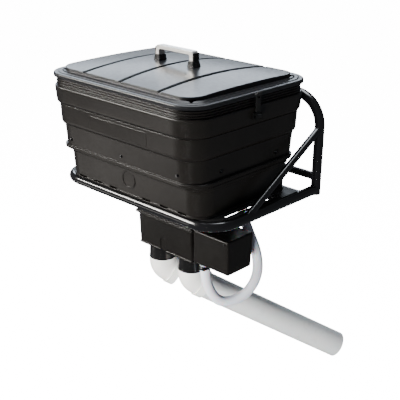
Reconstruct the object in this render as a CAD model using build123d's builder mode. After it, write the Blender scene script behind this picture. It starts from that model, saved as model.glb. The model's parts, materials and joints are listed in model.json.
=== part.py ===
from build123d import *
import math
import os

# ---------------------------------------------------------------------------
# Hitch-carried bulk salt spreader with two drop spouts and one discharge tube.
# Row frame: origin at the centre of the hitch pin, +X to the right along the
# wide front face, +Y towards the carrying vehicle, +Z up.  Millimetres.
# YC and ZB place the hopper's own centre line and the plane of the base tubes.
# ---------------------------------------------------------------------------
YC = -460.0
ZB = 41.275

# frame tubing
TUBE_R = 15.875
TUBE_WALL = 2.1
FRAME_A = 343.2
FRAME_FRONT = -194.4
FRAME_BACK = 288.0
FRAME_CORNER = 90.0
HOOP_TOP = 303.0
HOOP_R = 96.7
CROSS_REAR_Y = 204.6
CROSS_MID_Y = 142.0
TIE_R = 12.7
TIE_Z = 41.9
BRACE_R = 11.5
BRACE_Y0, BRACE_Z0 = -54.8, 0.0
BRACE_Z1 = 203.0
DECK_Z = 15.875
DECK_T = 3.0

# drawbar and hitch pin
BAR = 50.8
BAR_WALL = 4.8
BAR_Z = -41.275
BAR_Y0, BAR_Y1 = 124.0, 500.0
PIN_R = 8.35
GUSSET_T = 6.35

# hopper
WALL = 4.0
TUB_TOP = 116.0
RIM_A, RIM_B, RIM_R = 322.3, 267.1, 85.6
RIM_Z = 325.5

# lid
LID_A, LID_B, LID_R = 323.5, 268.3, 85.0
LID_Z0, LID_Z1 = 352.0, 365.5
CROWN = 399.0

# feed boxes
BOX_BOTTOM = -224.0
BOX_SPLIT = -109.0
BOX_TOP = 15.875
SHAFT_Z = -155.0
SHAFT_R = 8.0
SPOUT_X = 68.0

# pipe work
PIPE_R = 44.45
PIPE_BORE = 38.95
ELBOW_R = 45.0
RIM_SPOUT = -276.0
BEND_START = -289.8
AZ = math.radians(53.0)
DOWN = math.radians(30.0)
TUBE_LEN = 578.0

# hose
HOSE_R = 16.75
HOSE_TOP_X, HOSE_TOP_Y = 195.0, 95.0
HOSE_LOW_X, HOSE_LOW_Y = 160.0, -32.0

# 1 ---------------------------------------------------------------- frame
with BuildPart() as base_loop_tube:
    with BuildLine() as base_path:
        FilletPolyline(
            (-FRAME_A, YC + FRAME_BACK, ZB),
            (-FRAME_A, YC + FRAME_FRONT, ZB),
            (FRAME_A, YC + FRAME_FRONT, ZB),
            (FRAME_A, YC + FRAME_BACK, ZB),
            radius=FRAME_CORNER,
        )
    with BuildSketch(Plane(origin=(-FRAME_A, YC + FRAME_BACK, ZB), z_dir=(0, -1, 0))):
        Circle(TUBE_R)
        Circle(TUBE_R - TUBE_WALL, mode=Mode.SUBTRACT)
    sweep(path=base_path.wires()[0])
    # fish-mouth cuts where the side tubes meet the uprights
    with Locations((-FRAME_A, YC + FRAME_BACK, ZB), (FRAME_A, YC + FRAME_BACK, ZB)):
        Cylinder(radius=TUBE_R, height=60, mode=Mode.SUBTRACT)
base_loop_tube.part.label = "base_loop_tube"

with BuildPart() as rear_hoop_tube:
    with BuildLine() as hoop_path:
        FilletPolyline(
            (-FRAME_A, YC + FRAME_BACK, ZB - TUBE_R),
            (-FRAME_A, YC + FRAME_BACK, ZB + HOOP_TOP),
            (FRAME_A, YC + FRAME_BACK, ZB + HOOP_TOP),
            (FRAME_A, YC + FRAME_BACK, ZB - TUBE_R),
            radius=HOOP_R,
        )
    with BuildSketch(Plane(origin=(-FRAME_A, YC + FRAME_BACK, ZB - TUBE_R), z_dir=(0, 0, 1))):
        Circle(TUBE_R)
        Circle(TUBE_R - TUBE_WALL, mode=Mode.SUBTRACT)
    sweep(path=hoop_path.wires()[0])
    # closing discs in the feet of the uprights
    with Locations(
        (-FRAME_A, YC + FRAME_BACK, ZB - TUBE_R + 1.5), (FRAME_A, YC + FRAME_BACK, ZB - TUBE_R + 1.5)
    ):
        Cylinder(radius=TUBE_R - 0.5, height=3)
rear_hoop_tube.part.label = "rear_hoop_tube"

brace_dy = FRAME_BACK - BRACE_Y0
brace_dz = BRACE_Z1 - BRACE_Z0
brace_len = math.hypot(brace_dy, brace_dz)
with BuildPart() as side_brace_right:
    with BuildSketch(Plane(origin=(FRAME_A, YC + BRACE_Y0, ZB + BRACE_Z0), z_dir=(0, brace_dy, brace_dz))):
        Circle(BRACE_R)
        Circle(BRACE_R - 1.8, mode=Mode.SUBTRACT)
    extrude(amount=brace_len)
    with Locations((FRAME_A, YC, ZB)):
        Cylinder(radius=TUBE_R, height=800, rotation=(90, 0, 0), mode=Mode.SUBTRACT)
    with Locations((FRAME_A, YC + FRAME_BACK, ZB + 200)):
        Cylinder(radius=TUBE_R, height=400, mode=Mode.SUBTRACT)
side_brace_right.part.label = "side_brace_right"

with BuildPart() as side_brace_left:
    with BuildSketch(Plane(origin=(-FRAME_A, YC + BRACE_Y0, ZB + BRACE_Z0), z_dir=(0, brace_dy, brace_dz))):
        Circle(BRACE_R)
        Circle(BRACE_R - 1.8, mode=Mode.SUBTRACT)
    extrude(amount=brace_len)
    with Locations((-FRAME_A, YC, ZB)):
        Cylinder(radius=TUBE_R, height=800, rotation=(90, 0, 0), mode=Mode.SUBTRACT)
    with Locations((-FRAME_A, YC + FRAME_BACK, ZB + 200)):
        Cylinder(radius=TUBE_R, height=400, mode=Mode.SUBTRACT)
side_brace_left.part.label = "side_brace_left"

with BuildPart() as hoop_tie_bar:
    with BuildSketch(Plane(origin=(-FRAME_A, YC + FRAME_BACK, ZB + TIE_Z), z_dir=(1, 0, 0))):
        Circle(TIE_R)
        Circle(TIE_R - 2, mode=Mode.SUBTRACT)
    extrude(amount=2 * FRAME_A)
    with Locations((-FRAME_A, YC + FRAME_BACK, ZB + TIE_Z), (FRAME_A, YC + FRAME_BACK, ZB + TIE_Z)):
        Cylinder(radius=TUBE_R, height=120, mode=Mode.SUBTRACT)
hoop_tie_bar.part.label = "hoop_tie_bar"

with BuildPart() as rear_cross_member:
    with BuildSketch(Plane(origin=(-FRAME_A, YC + CROSS_REAR_Y, ZB), z_dir=(1, 0, 0))):
        Circle(TUBE_R)
        Circle(TUBE_R - TUBE_WALL, mode=Mode.SUBTRACT)
    extrude(amount=2 * FRAME_A)
    with Locations((-FRAME_A, YC + CROSS_REAR_Y, ZB), (FRAME_A, YC + CROSS_REAR_Y, ZB)):
        Cylinder(radius=TUBE_R, height=120, rotation=(90, 0, 0), mode=Mode.SUBTRACT)
rear_cross_member.part.label = "rear_cross_member"

with BuildPart() as mid_cross_member:
    with BuildSketch(Plane(origin=(-FRAME_A, YC + CROSS_MID_Y, ZB), z_dir=(1, 0, 0))):
        Circle(TUBE_R)
        Circle(TUBE_R - TUBE_WALL, mode=Mode.SUBTRACT)
    extrude(amount=2 * FRAME_A)
    with Locations((-FRAME_A, YC + CROSS_MID_Y, ZB), (FRAME_A, YC + CROSS_MID_Y, ZB)):
        Cylinder(radius=TUBE_R, height=120, rotation=(90, 0, 0), mode=Mode.SUBTRACT)
mid_cross_member.part.label = "mid_cross_member"

# deck plate lying on the tubes, long slot at each side, throat opening
with BuildPart() as deck_plate:
    with BuildSketch(Plane((0, YC + 6.0, ZB + DECK_Z))):
        RectangleRounded(2 * FRAME_A, 2 * 200.4, FRAME_CORNER)
        with Locations((0, 100.4)):
            Rectangle(2 * FRAME_A, 200)
        with Locations((-321, -9.5), (321, -9.5)):
            SlotOverall(244, 7, rotation=90, mode=Mode.SUBTRACT)
        # the deck stops short of the rear cross member
        with Locations((0, 195)):
            Rectangle(2 * FRAME_A, 18, mode=Mode.SUBTRACT)
        with Locations((0, -6)):
            RectangleRounded(226, 102, 9, mode=Mode.SUBTRACT)
        with Locations((HOSE_TOP_X, HOSE_TOP_Y - 6)):
            Circle(13.2, mode=Mode.SUBTRACT)
        with Locations(*[(x, y - 6) for x in (-126, -42, 42, 126) for y in (-80.5, 80.5)]):
            Circle(4.05, mode=Mode.SUBTRACT)
        with Locations(*[(x, y - 6) for x in (-200, 0, 200) for y in (-165, 165)]):
            Circle(4.05, mode=Mode.SUBTRACT)
        # notches where the side braces come up through the deck edge
        with Locations((-343.2, -32.5), (343.2, -32.5)):
            Rectangle(25.0, 58, mode=Mode.SUBTRACT)
    extrude(amount=DECK_T)
deck_plate.part.label = "deck_plate"

with BuildPart() as hitch_drawbar:
    with BuildSketch(Plane(origin=(0, YC + BAR_Y0, ZB + BAR_Z), x_dir=(1, 0, 0), z_dir=(0, 1, 0))):
        RectangleRounded(BAR, BAR, 6)
        RectangleRounded(BAR - 2 * BAR_WALL, BAR - 2 * BAR_WALL, 2, mode=Mode.SUBTRACT)
    extrude(amount=BAR_Y1 - BAR_Y0)
    with Locations((0, 0, 0)):
        Cylinder(radius=PIN_R, height=80, rotation=(0, 90, 0), mode=Mode.SUBTRACT)
hitch_drawbar.part.label = "hitch_drawbar"

with BuildPart() as drawbar_gusset_right:
    with BuildSketch(Plane(origin=(BAR / 2, YC, ZB), x_dir=(0, 1, 0), z_dir=(1, 0, 0))):
        with BuildLine():
            Polyline((116, 2), (232, 2), (300, -40), (300, -64), (116, -64), close=True)
        make_face()
        with Locations((CROSS_MID_Y, 0), (CROSS_REAR_Y, 0)):
            Circle(TUBE_R, mode=Mode.SUBTRACT)
    extrude(amount=GUSSET_T)
drawbar_gusset_right.part.label = "drawbar_gusset_right"

with BuildPart() as drawbar_gusset_left:
    with BuildSketch(Plane(origin=(-BAR / 2 - GUSSET_T, YC, ZB), x_dir=(0, 1, 0), z_dir=(1, 0, 0))):
        with BuildLine():
            Polyline((116, 2), (232, 2), (300, -40), (300, -64), (116, -64), close=True)
        make_face()
        with Locations((CROSS_MID_Y, 0), (CROSS_REAR_Y, 0)):
            Circle(TUBE_R, mode=Mode.SUBTRACT)
    extrude(amount=GUSSET_T)
drawbar_gusset_left.part.label = "drawbar_gusset_left"

# 2 ---------------------------------------------------------------- hopper
UPPER_BANDS = [
    # z0, a0, b0, r0, z1, a1, b1, r1
    # lip at the joint with the lower tub, edges eased
    (TUB_TOP + 3, 308.6, 233.6, 67, 121.0, 311.6, 236.6, 70),
    (121.0, 311.6, 236.6, 70, 129.0, 311.6, 236.8, 70),
    (129.0, 311.6, 236.8, 70, 131.5, 308.6, 233.8, 67),
    # lowest band and the thin groove above it
    (131.0, 301.6, 231.8, 63, 199.2, 301.0, 240.0, 65),
    # middle band, its lower edge rolled inwards
    (199.0, 298.6, 238.8, 62, 200.4, 301.0, 242.4, 64),
    (200.4, 301.0, 242.4, 64, 203.4, 304.4, 246.8, 68),
    (203.4, 304.4, 246.8, 68, 208.2, 307.0, 249.9, 71),
    (208.2, 307.0, 249.9, 71, 215.0, 308.0, 251.0, 72),
    (215.0, 308.0, 251.0, 72, 266.2, 310.6, 253.2, 74),
    (266.2, 310.6, 253.2, 74, 267.2, 309.4, 252.0, 73),
    # top band, its lower edge rolled inwards and its top edge eased
    (267.0, 307.4, 250.0, 70, 268.4, 310.8, 254.4, 73),
    (268.4, 310.8, 254.4, 73, 271.4, 314.9, 258.8, 77),
    (271.4, 314.9, 258.8, 77, 276.2, 317.7, 261.9, 80),
    (276.2, 317.7, 261.9, 80, 283.0, 318.6, 263.0, 81.3),
    (283.0, 318.6, 263.0, 81.3, 319.0, RIM_A - 0.3, RIM_B - 0.3, RIM_R - 0.3),
    (319.0, RIM_A - 0.3, RIM_B - 0.3, RIM_R - 0.3, 322.6, RIM_A - 0.6, RIM_B - 0.6, RIM_R - 0.6),
    (322.6, RIM_A - 0.6, RIM_B - 0.6, RIM_R - 0.6, 324.6, RIM_A - 1.9, RIM_B - 1.9, RIM_R - 1.9),
    (324.6, RIM_A - 1.9, RIM_B - 1.9, RIM_R - 1.9, RIM_Z, RIM_A - 4.0, RIM_B - 4.0, RIM_R - 4.0),
    # neck with fine ridges
    (RIM_Z, 313.0, 257.8, 79, 352.0, 313.0, 257.8, 79),
    (329.0, 316.8, 261.6, 82, 332.0, 316.8, 261.6, 82),
    (336.6, 316.8, 261.6, 82, 339.6, 316.8, 261.6, 82),
    (344.2, 316.8, 261.6, 82, 347.2, 316.8, 261.6, 82),
]
# the rear wall stands a little further out than the front: half the extra depth
BACK = 2.5
with BuildPart() as upper_hopper_shell:
    for z0, a0, b0, r0, z1, a1, b1, r1 in UPPER_BANDS:
        g0 = 1.0 if z1 < 132 else 2.5 if z0 < 132 else 4.0 if z1 < 267.5 else BACK
        g1 = 1.0 if z1 < 132 else 4.5 if z0 < 132 else 4.0 if z1 < 267.5 else BACK
        with BuildSketch(Plane((0, YC + g0, ZB + z0))):
            RectangleRounded(2 * a0, 2 * (b0 + g0), r0)
        with BuildSketch(Plane((0, YC + g1, ZB + z1))):
            RectangleRounded(2 * a1, 2 * (b1 + g1), r1)
        loft()
    for z0, a0, b0, r0, z1, a1, b1, r1 in (
        (TUB_TOP + 3, 290.0, 222.0, 60, 199.0, 290.6, 235.0, 62),
        (199.0, 290.6, 235.0, 62, 268.0, 301.6, 246.4, 68),
        (268.0, 301.6, 246.4, 68, 352.0, 308.0, 252.0, 75),
    ):
        with BuildSketch(Plane((0, YC, ZB + z0))):
            RectangleRounded(2 * a0, 2 * b0, r0)
        with BuildSketch(Plane((0, YC, ZB + z1))):
            RectangleRounded(2 * a1, 2 * b1, r1)
        loft(mode=Mode.SUBTRACT)
    # very low blank pad on the front face
    with BuildSketch(Plane(origin=(4, YC - 247.6, ZB + 236.0), x_dir=(1, 0, 0), z_dir=(0, -1, -0.038))):
        RectangleRounded(252, 42, 6)
    extrude(amount=4.9)
upper_hopper_shell.part.label = "upper_hopper_shell"

with BuildPart() as lower_hopper_tub:
    for z0, a0, b0, r0, z1, a1, b1, r1 in (
        (18.875, 300.0, 203.0, 58, 106.0, 304.5, 209.0, 60),
        (104.0, 305.5, 212.0, 61, 107.0, 307.0, 215.0, 62),
        (107.0, 307.0, 215.0, 62, TUB_TOP, 307.0, 215.5, 62),
        (18.875, 303.5, 206.5, 60, 24.0, 302.5, 205.5, 60),
    ):
        with BuildSketch(Plane((0, YC + 1.5, ZB + z0))):
            RectangleRounded(2 * a0, 2 * (b0 + 1.5), r0)
        with BuildSketch(Plane((0, YC + 1.5, ZB + z1))):
            RectangleRounded(2 * a1, 2 * (b1 + 1.5), r1)
        loft()
    with BuildSketch(Plane((0, YC, ZB + 22.875))):
        RectangleRounded(592, 398, 54)
    with BuildSketch(Plane((0, YC, ZB + TUB_TOP))):
        RectangleRounded(600, 409, 56)
    loft(mode=Mode.SUBTRACT)
    # open floor inside the foot flange
    with BuildSketch(Plane((0, YC, ZB + 18.875))):
        RectangleRounded(500, 300, 40)
    extrude(amount=4, mode=Mode.SUBTRACT)
    # round moulded boss on the front
    with BuildSketch(Plane(origin=(0, YC - 198.0, ZB + 72.0), x_dir=(1, 0, 0), z_dir=(0, -1, 0))):
        Circle(29)
    extrude(amount=10.5)
    with BuildSketch(Plane(origin=(0, YC - 198.0, ZB + 72.0), x_dir=(1, 0, 0), z_dir=(0, -1, 0)).offset(9)):
        Circle(25)
    extrude(amount=2, mode=Mode.SUBTRACT)
    # drain notches along the front foot
    with Locations(*[(x, YC - 204, ZB + 24.5) for x in (-225, -150, -75, 75, 150, 225)]):
        Box(34, 24, 5, mode=Mode.SUBTRACT)
    # foot bolt holes
    with Locations(*[(x, YC + y, ZB + 20.9) for x in (-200, 0, 200) for y in (-165, 165)]):
        Cylinder(radius=4.05, height=6, mode=Mode.SUBTRACT)
lower_hopper_tub.part.label = "lower_hopper_tub"

# sloping inner funnel hung between the tub and the upper shell
with BuildPart() as hopper_funnel:
    with BuildSketch(Plane((0, YC, ZB + TUB_TOP))):
        RectangleRounded(612, 430, 62)
    extrude(amount=3)
    with BuildSketch(Plane((0, YC, ZB + TUB_TOP))):
        RectangleRounded(574, 402, 52)
    with BuildSketch(Plane((0, YC, ZB + 34))):
        RectangleRounded(224, 100, 9)
    loft()
    with BuildSketch(Plane((0, YC, ZB + 34))):
        RectangleRounded(224, 100, 9)
    extrude(amount=-18.125)
    with BuildSketch(Plane((0, YC, ZB + TUB_TOP + 3))):
        RectangleRounded(569, 397, 50)
    with BuildSketch(Plane((0, YC, ZB + 35))):
        RectangleRounded(218, 94, 7)
    loft(mode=Mode.SUBTRACT)
    with BuildSketch(Plane((0, YC, ZB + 36))):
        RectangleRounded(218, 94, 7)
    extrude(amount=-22, mode=Mode.SUBTRACT)
hopper_funnel.part.label = "hopper_funnel"

# inverted-V deflector over the throat, standing on the funnel throat edge
with BuildPart() as flow_deflector:
    with BuildSketch(Plane(origin=(-105, YC, ZB), x_dir=(0, 1, 0), z_dir=(1, 0, 0))):
        with BuildLine():
            Polyline((-60, 92), (0, 138), (60, 92), (57, 89), (0, 132.5), (-57, 89), close=True)
        make_face()
    extrude(amount=210)
    with Locations(*[(x, YC, ZB + 80) for x in (-95, 95)]):
        Box(4, 94, 108)
    with BuildSketch(Plane(origin=(-110, YC, ZB), x_dir=(0, 1, 0), z_dir=(1, 0, 0))):
        with BuildLine():
            Polyline((-80, 70), (-80, 150), (80, 150), (80, 70), (60, 91.5), (0, 137.5), (-60, 91.5), close=True)
        make_face()
    extrude(amount=220, mode=Mode.SUBTRACT)
flow_deflector.part.label = "flow_deflector"

# button-head screws joining the two hopper mouldings
SCREW_Z = 152.5
with BuildPart() as hopper_screws:
    for x in (-237, 0, 237):
        for s in (-1, 1):
            sy = 234.4 if s < 0 else 238.9
            with BuildSketch(Plane(origin=(x, YC + s * (sy - 2.0), ZB + SCREW_Z), z_dir=(0, s, 0))):
                Circle(6.2)
            with BuildSketch(Plane(origin=(x, YC + s * (sy + 4.0), ZB + SCREW_Z), z_dir=(0, s, 0))):
                Circle(3.4)
            loft()
    for y in (-124, 124):
        for s in (-1, 1):
            with BuildSketch(Plane(origin=(s * 300.0, YC + y, ZB + SCREW_Z), z_dir=(s, 0, 0))):
                Circle(6.2)
            with BuildSketch(Plane(origin=(s * 305.6, YC + y, ZB + SCREW_Z), z_dir=(s, 0, 0))):
                Circle(3.4)
            loft()
    # the heads stop at the outer face of the upper moulding
    with BuildSketch(Plane((0, YC + 2.5, ZB + 131.0))):
        RectangleRounded(603.2, 468.6, 63)
    with BuildSketch(Plane((0, YC + 4.5, ZB + 199.2))):
        RectangleRounded(602, 489, 65)
    loft(mode=Mode.SUBTRACT)
hopper_screws.part.label = "hopper_screws"

with BuildPart() as tub_foot_bolts:
    for x in (-200, 0, 200):
        for y in (-165, 165):
            with BuildSketch(Plane((x, YC + y, ZB + 22.875))):
                RegularPolygon(7.5, 6)
            extrude(amount=5.3)
            with BuildSketch(Plane((x, YC + y, ZB + 22.875))):
                Circle(4.0)
            extrude(amount=-16)
            with BuildSketch(Plane((x, YC + y, ZB + DECK_Z))):
                RegularPolygon(7.5, 6)
            extrude(amount=-6.8)
tub_foot_bolts.part.label = "tub_foot_bolts"

# 3 ---------------------------------------------------------------- lid
LID_ARCHES = [(-286.0, 384.0), (-163.0, 394.1), (0.0, CROWN), (163.0, 394.1), (286.0, 384.0)]
LID_EDGE = 379.0
# raised panel, arched both ways, trimmed to its rounded outline
with BuildPart() as lid_crown:
    for ax, az in LID_ARCHES:
        with BuildSketch(Plane(origin=(ax, YC, ZB), x_dir=(0, 1, 0), z_dir=(1, 0, 0))):
            with BuildLine():
                Polyline((232, LID_EDGE), (232, 366), (-232, 366), (-232, LID_EDGE))
                ThreePointArc((-232, LID_EDGE), (0, az), (232, LID_EDGE))
            make_face()
    loft()
    with BuildSketch(Plane((0, YC, ZB + 360.0))):
        RectangleRounded(2 * 286, 2 * 232, 52)
    extrude(amount=60, mode=Mode.INTERSECT)

with BuildPart() as lid_shell:
    with BuildSketch(Plane((0, YC + BACK, ZB + LID_Z0 + 1))):
        RectangleRounded(2 * LID_A, 2 * (LID_B + BACK), LID_R)
    extrude(amount=LID_Z1 - LID_Z0 - 1)
    # rolled top edge of the flange
    fillet(lid_shell.edges().filter_by(Plane.XY).group_by(Axis.Z)[-1], 4.5)
    fillet(lid_shell.edges().filter_by(Plane.XY).group_by(Axis.Z)[0], 1.5)
    # two shallow steps between the flange and the raised panel
    for z0, a0, b0, r0, z1, a1, b1, r1 in (
        (LID_Z1 - 1, 312.0, 257.0, 78, 367.4, 308.0, 253.0, 75),
        (LID_Z1 - 1, 302.0, 247.0, 70, 370.0, 294.0, 239.0, 62),
    ):
        with BuildSketch(Plane((0, YC + BACK, ZB + z0))):
            RectangleRounded(2 * a0, 2 * (b0 + BACK), r0)
        with BuildSketch(Plane((0, YC + BACK, ZB + z1))):
            RectangleRounded(2 * a1, 2 * (b1 + BACK), r1)
        loft()
    add(lid_crown.part)
    # three draining grooves across the panel, stepped and open at both ends
    for gx, gz in ((-163, 394.1), (0, CROWN), (163, 394.1)):
        for gw, gd in ((15.0, 1.8), (9.0, 4.6)):
            with BuildSketch(Plane(origin=(gx - gw / 2, YC, ZB), x_dir=(0, 1, 0), z_dir=(1, 0, 0))):
                with BuildLine():
                    ThreePointArc((-236, LID_EDGE - gd - 0.6), (0, gz - gd), (236, LID_EDGE - gd - 0.6))
                    Polyline((236, LID_EDGE - gd - 0.6), (236, 420), (-236, 420), (-236, LID_EDGE - gd - 0.6))
                make_face()
            extrude(amount=gw, mode=Mode.SUBTRACT)
    # hollow underside
    with BuildSketch(Plane((0, YC + BACK, ZB + LID_Z0))):
        RectangleRounded(2 * 314.3, 2 * (259.1 + BACK), 80)
    extrude(amount=9, mode=Mode.SUBTRACT)
    for ax, az in ((-280.0, 376.6), (-163.0, 386.6), (0.0, CROWN - 7.6), (163.0, 386.6), (280.0, 376.6)):
        with BuildSketch(Plane(origin=(ax, YC, ZB), x_dir=(0, 1, 0), z_dir=(1, 0, 0))):
            with BuildLine():
                Polyline((225, 370.4), (225, 355), (-225, 355), (-225, 370.4))
                ThreePointArc((-225, 370.4), (0, az), (225, 370.4))
            make_face()
    loft(mode=Mode.SUBTRACT)
lid_shell.part.label = "lid_shell"

with BuildPart() as lid_seal:
    with BuildSketch(Plane((0, YC + BACK, ZB + 352.3))):
        RectangleRounded(2 * 312.6, 2 * (257.4 + BACK), 79)
        RectangleRounded(2 * 308.2, 2 * (252.2 + BACK), 75, mode=Mode.SUBTRACT)
    extrude(amount=8.7)
lid_seal.part.label = "lid_seal"

# moulded stiffening frame under the lid
with BuildPart() as lid_stiffener:
    with BuildSketch(Plane((0, YC, ZB + 355.0))):
        RectangleRounded(2 * 304, 2 * 248, 70)
        RectangleRounded(2 * 284, 2 * 229, 58, mode=Mode.SUBTRACT)
    extrude(amount=6)
lid_stiffener.part.label = "lid_stiffener"

HANDLE_X = 72.5
HANDLE_TOP = 446.0
FOOT_TOP = CROWN + 17
# black feet following the crown, each with an upright plate outside the leg
with BuildPart() as lid_handle_feet:
    for s in (-1, 1):
        with BuildSketch(Plane((s * 73.0, YC, ZB + 394.0))):
            RectangleRounded(29, 36, 4)
        with BuildSketch(Plane((s * 72.0, YC, ZB + FOOT_TOP))):
            RectangleRounded(22, 30, 4)
        loft()
        with Locations((s * 81.3, YC, ZB + 425.0)):
            Box(2.6, 25, 30)
    add(lid_crown.part, mode=Mode.SUBTRACT)
lid_handle_feet.part.label = "lid_handle_feet"

with BuildPart() as lid_handle_strap:
    with BuildSketch(Plane(origin=(0, YC + 13, ZB), x_dir=(1, 0, 0), z_dir=(0, -1, 0))):
        with BuildLine():
            FilletPolyline(
                (-80, FOOT_TOP), (-80, HANDLE_TOP), (80, HANDLE_TOP), (80, FOOT_TOP),
                radius=9,
            )
            Polyline((80, FOOT_TOP), (65, FOOT_TOP))
            FilletPolyline(
                (65, FOOT_TOP), (65, HANDLE_TOP - 12), (-65, HANDLE_TOP - 12), (-65, FOOT_TOP),
                radius=6,
            )
            Polyline((-65, FOOT_TOP), (-80, FOOT_TOP))
        make_face()
    extrude(amount=26)
    # eased long edges of the grip
    chamfer(lid_handle_strap.edges().filter_by(Axis.X), 1.2)
lid_handle_strap.part.label = "lid_handle_strap"

with BuildPart() as lid_handle_screws:
    for s in (-1, 1):
        with BuildSketch(Plane(origin=(s * 82.6, YC, ZB + 427.0), z_dir=(s, 0, 0))):
            Circle(4.6)
        extrude(amount=1.3)
lid_handle_screws.part.label = "lid_handle_screws"

# 4 ---------------------------------------------------------------- latches
LATCH_Z = 297.0
LATCH_PIN_X = 329.5
with BuildPart() as latch_anchor_right:
    with BuildSketch(Plane((0, YC, ZB + LATCH_Z - 10))):
        with Locations((324.5, -12.0), (324.5, 12.0)):
            Rectangle(19, 5)
        with Locations((318.9, 0)):
            Rectangle(7.8, 29)
    extrude(amount=20)
    # the back of the bracket follows the top band
    with BuildSketch(Plane((0, YC, ZB + 283.0))):
        RectangleRounded(2 * 318.65, 2 * 263.05, 81.3)
    with BuildSketch(Plane((0, YC, ZB + 319.0))):
        RectangleRounded(2 * (RIM_A - 0.25), 2 * (RIM_B - 0.25), RIM_R - 0.3)
    loft(mode=Mode.SUBTRACT)
    with Locations((LATCH_PIN_X, YC, ZB + LATCH_Z)):
        Cylinder(radius=3.0, height=60, rotation=(90, 0, 0), mode=Mode.SUBTRACT)
latch_anchor_right.part.label = "latch_anchor_right"

with BuildPart() as latch_pin_right:
    with Locations((LATCH_PIN_X, YC, ZB + LATCH_Z)):
        Cylinder(radius=2.95, height=31, rotation=(90, 0, 0))
latch_pin_right.part.label = "latch_pin_right"

# strap: eye round the pin, flat tongue with a window, finger tab at the top
with BuildPart() as latch_strap_right:
    with Locations((LATCH_PIN_X, YC, ZB + LATCH_Z)):
        Cylinder(radius=6.0, height=18, rotation=(90, 0, 0))
    with BuildSketch(Plane(origin=(325.4, YC, ZB), x_dir=(0, 1, 0), z_dir=(1, 0, 0))):
        with Locations((0, LATCH_Z + 34)):
            Rectangle(18, 68)
        with Locations((0, LATCH_Z + 56)):
            Rectangle(10, 8, mode=Mode.SUBTRACT)
    extrude(amount=4.0)
    with BuildSketch(Plane(origin=(0, YC - 9, ZB), x_dir=(1, 0, 0), z_dir=(0, 1, 0))):
        with BuildLine():
            Polyline(
                (325.4, -(LATCH_Z + 61)), (329.4, -(LATCH_Z + 61)), (334.0, -(LATCH_Z + 71)),
                (330.8, -(LATCH_Z + 73)), (325.4, -(LATCH_Z + 66)), close=True,
            )
        make_face()
    extrude(amount=18)
    with Locations((LATCH_PIN_X, YC, ZB + LATCH_Z)):
        Cylinder(radius=3.0, height=60, rotation=(90, 0, 0), mode=Mode.SUBTRACT)
latch_strap_right.part.label = "latch_strap_right"

with BuildPart() as latch_anchor_left:
    with BuildSketch(Plane((0, YC, ZB + LATCH_Z - 10))):
        with Locations((-324.5, -12.0), (-324.5, 12.0)):
            Rectangle(19, 5)
        with Locations((-318.9, 0)):
            Rectangle(7.8, 29)
    extrude(amount=20)
    # the back of the bracket follows the top band
    with BuildSketch(Plane((0, YC, ZB + 283.0))):
        RectangleRounded(2 * 318.65, 2 * 263.05, 81.3)
    with BuildSketch(Plane((0, YC, ZB + 319.0))):
        RectangleRounded(2 * (RIM_A - 0.25), 2 * (RIM_B - 0.25), RIM_R - 0.3)
    loft(mode=Mode.SUBTRACT)
    with Locations((-LATCH_PIN_X, YC, ZB + LATCH_Z)):
        Cylinder(radius=3.0, height=60, rotation=(90, 0, 0), mode=Mode.SUBTRACT)
latch_anchor_left.part.label = "latch_anchor_left"

with BuildPart() as latch_pin_left:
    with Locations((-LATCH_PIN_X, YC, ZB + LATCH_Z)):
        Cylinder(radius=2.95, height=31, rotation=(90, 0, 0))
latch_pin_left.part.label = "latch_pin_left"

# strap: eye round the pin, flat tongue with a window, finger tab at the top
with BuildPart() as latch_strap_left:
    with Locations((-LATCH_PIN_X, YC, ZB + LATCH_Z)):
        Cylinder(radius=6.0, height=18, rotation=(90, 0, 0))
    with BuildSketch(Plane(origin=(-325.4, YC, ZB), x_dir=(0, 1, 0), z_dir=(1, 0, 0))):
        with Locations((0, LATCH_Z + 34)):
            Rectangle(18, 68)
        with Locations((0, LATCH_Z + 56)):
            Rectangle(10, 8, mode=Mode.SUBTRACT)
    extrude(amount=-4.0)
    with BuildSketch(Plane(origin=(0, YC - 9, ZB), x_dir=(1, 0, 0), z_dir=(0, 1, 0))):
        with BuildLine():
            Polyline(
                (-325.4, -(LATCH_Z + 61)), (-329.4, -(LATCH_Z + 61)), (-334.0, -(LATCH_Z + 71)),
                (-330.8, -(LATCH_Z + 73)), (-325.4, -(LATCH_Z + 66)), close=True,
            )
        make_face()
    extrude(amount=18)
    with Locations((-LATCH_PIN_X, YC, ZB + LATCH_Z)):
        Cylinder(radius=3.0, height=60, rotation=(90, 0, 0), mode=Mode.SUBTRACT)
latch_strap_left.part.label = "latch_strap_left"

# keepers on the lid flange: two cheeks each side that hold the strap between them
with BuildPart() as lid_keepers:
    for sx in (-1, 1):
        for sy in (-1, 1):
            with BuildSketch(Plane((sx * (LID_A + 3.0), YC + sy * 11.5, ZB + 354.0))):
                Rectangle(6, 4)
            extrude(amount=9)
lid_keepers.part.label = "lid_keepers"

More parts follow.
